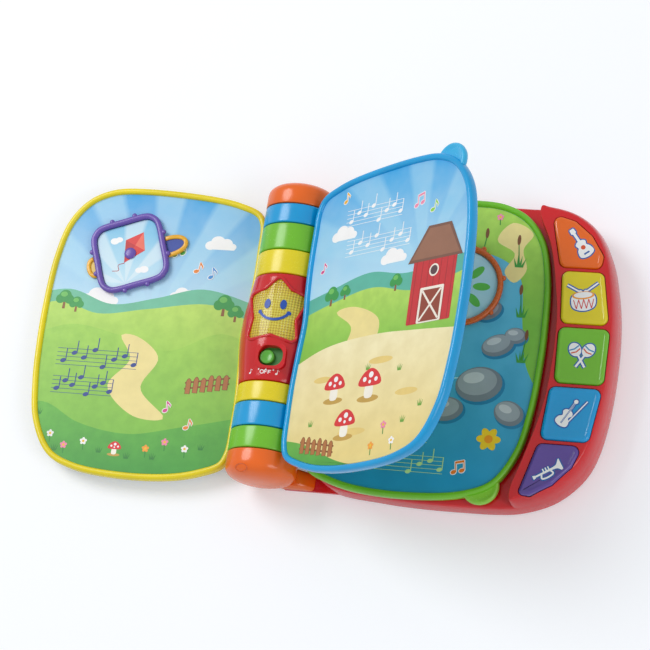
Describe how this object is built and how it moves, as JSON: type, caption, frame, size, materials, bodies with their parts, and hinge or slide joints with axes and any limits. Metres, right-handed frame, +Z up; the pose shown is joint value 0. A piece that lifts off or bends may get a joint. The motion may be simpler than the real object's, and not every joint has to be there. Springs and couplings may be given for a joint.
{
  "type": "electronic sound book",
  "caption": "Moulded plastic sound book: leaves hinged on a barrel spine with a lamp window and switch, over a base with a bank of large instrument keys and turning tambourines.",
  "frame": {"origin": "middle of the base's flat underside", "axes": "+X from the spine to the keys, across the open book; +Y along the spine, towards the top of the page; +Z up"},
  "size_m": [0.4396, 0.2333, 0.146],
  "materials": {
    "red_plastic": "gloss moulded",
    "orange_plastic": "gloss moulded",
    "yellow_plastic": "gloss moulded",
    "green_plastic": "gloss moulded",
    "dark_green_plastic": "gloss moulded",
    "blue_plastic": "gloss moulded",
    "purple_plastic": "gloss moulded",
    "purple_key_plastic": "gloss moulded",
    "brown_plastic": "gloss moulded",
    "amber_plastic": "gloss moulded",
    "lens_plastic": "clear, prismatic",
    "lamp_plastic": "clear",
    "black_plastic": "satin",
    "circuit_board": "satin",
    "battery_case": "satin",
    "membrane_rubber": "matt",
    "steel": "plated",
    "meadow_film": "printed film",
    "water_film": "printed film",
    "cream_film": "printed film",
    "sky_film": "printed film",
    "cover_film": "printed film"
  },
  "bodies": {
    "base": {"base_lower_shell": "red_plastic", "base_upper_shell": "red_plastic", "base_page": "sky_film", "base_screw_1": "steel", "base_screw_2": "steel", "base_screw_3": "steel", "base_screw_4": "steel", "battery_contact_inner": "steel", "battery_contact_outer": "steel", "battery_door": "red_plastic", "battery_door_screw": "steel", "battery_lower": "battery_case", "battery_upper": "battery_case", "bottom_cap": "orange_plastic", "top_cap": "orange_plastic", "cap_screw_1": "steel", "cap_screw_2": "steel", "key_board": "circuit_board", "key_membrane": "membrane_rubber", "lamp": "lamp_plastic", "lamp_board": "circuit_board", "main_board": "circuit_board", "slide_switch": "black_plastic", "speaker": "black_plastic", "spine_lower_shell": "red_plastic", "spine_upper_shell": "red_plastic", "spine_screw_1": "steel", "spine_screw_2": "steel", "star_lens": "lens_plastic", "switch_plate": "dark_green_plastic"},
    "leaf_green": {"green_leaf": "green_plastic", "green_ring_upper": "green_plastic", "green_ring_lower": "green_plastic", "green_page_front": "water_film", "green_page_back": "meadow_film", "round_tambourine_pin": "brown_plastic"},
    "leaf_blue": {"blue_leaf": "blue_plastic", "blue_ring_upper": "blue_plastic", "blue_ring_lower": "blue_plastic", "blue_page_front": "cream_film", "blue_page_back": "sky_film"},
    "leaf_yellow": {"yellow_leaf": "yellow_plastic", "yellow_ring_upper": "yellow_plastic", "yellow_ring_lower": "yellow_plastic", "yellow_page_inside": "meadow_film", "yellow_page_cover": "cover_film", "square_tambourine_pin": "purple_plastic"},
    "tambourine_round": {"round_tambourine_band": "brown_plastic", "round_tambourine_disc": "water_film"},
    "tambourine_square": {"square_tambourine_band": "purple_plastic", "square_tambourine_disc": "sky_film", "square_tambourine_grip_near": "amber_plastic", "square_tambourine_grip_far": "amber_plastic"},
    "orange_key": {"key_orange": "orange_plastic"},
    "yellow_key": {"key_yellow": "yellow_plastic"},
    "green_key": {"key_green": "green_plastic"},
    "blue_key": {"key_blue": "blue_plastic"},
    "purple_key": {"key_purple": "purple_key_plastic"},
    "knob": {"switch_knob": "green_plastic"}
  },
  "joints": [
    {"name": "green_leaf_hinge", "type": "hinge", "parent": "base", "child": "leaf_green", "pos_m": [-0.1377, 0, 0.027], "axis": [0, -1, 0], "range_deg": [0, 32.7]},
    {"name": "blue_leaf_hinge", "type": "hinge", "parent": "base", "child": "leaf_blue", "pos_m": [-0.1377, 0, 0.027], "axis": [0, -1, 0], "range_deg": [-32.7, 144.7]},
    {"name": "yellow_leaf_hinge", "type": "hinge", "parent": "base", "child": "leaf_yellow", "pos_m": [-0.1377, 0, 0.027], "axis": [0, -1, 0], "range_deg": [-144.7, 0]},
    {"name": "round_tambourine_spin", "type": "hinge", "parent": "leaf_green", "child": "tambourine_round", "pos_m": [-0.0097, 0.047, 0.027], "axis": [0, 0, 1], "continuous": true},
    {"name": "square_tambourine_spin", "type": "hinge", "parent": "leaf_yellow", "child": "tambourine_square", "pos_m": [-0.2695, 0.0605, 0.013], "axis": [0, 0, 1], "continuous": true},
    {"name": "orange_key_press", "type": "slide", "parent": "base", "child": "orange_key", "axis": [0, 0, -1], "range_m": [0, 0.0025], "stiffness_N_per_m": 600, "springref_m": -0.001},
    {"name": "yellow_key_press", "type": "slide", "parent": "base", "child": "yellow_key", "axis": [0, 0, -1], "range_m": [0, 0.0025], "stiffness_N_per_m": 600, "springref_m": -0.001},
    {"name": "green_key_press", "type": "slide", "parent": "base", "child": "green_key", "axis": [0, 0, -1], "range_m": [0, 0.0025], "stiffness_N_per_m": 600, "springref_m": -0.001},
    {"name": "blue_key_press", "type": "slide", "parent": "base", "child": "blue_key", "axis": [0, 0, -1], "range_m": [0, 0.0025], "stiffness_N_per_m": 600, "springref_m": -0.001},
    {"name": "purple_key_press", "type": "slide", "parent": "base", "child": "purple_key", "axis": [0, 0, -1], "range_m": [0, 0.0025], "stiffness_N_per_m": 600, "springref_m": -0.001},
    {"name": "switch_slide", "type": "slide", "parent": "base", "child": "knob", "axis": [1, 0, 0], "range_m": [0, 0.0068]}
  ]
}
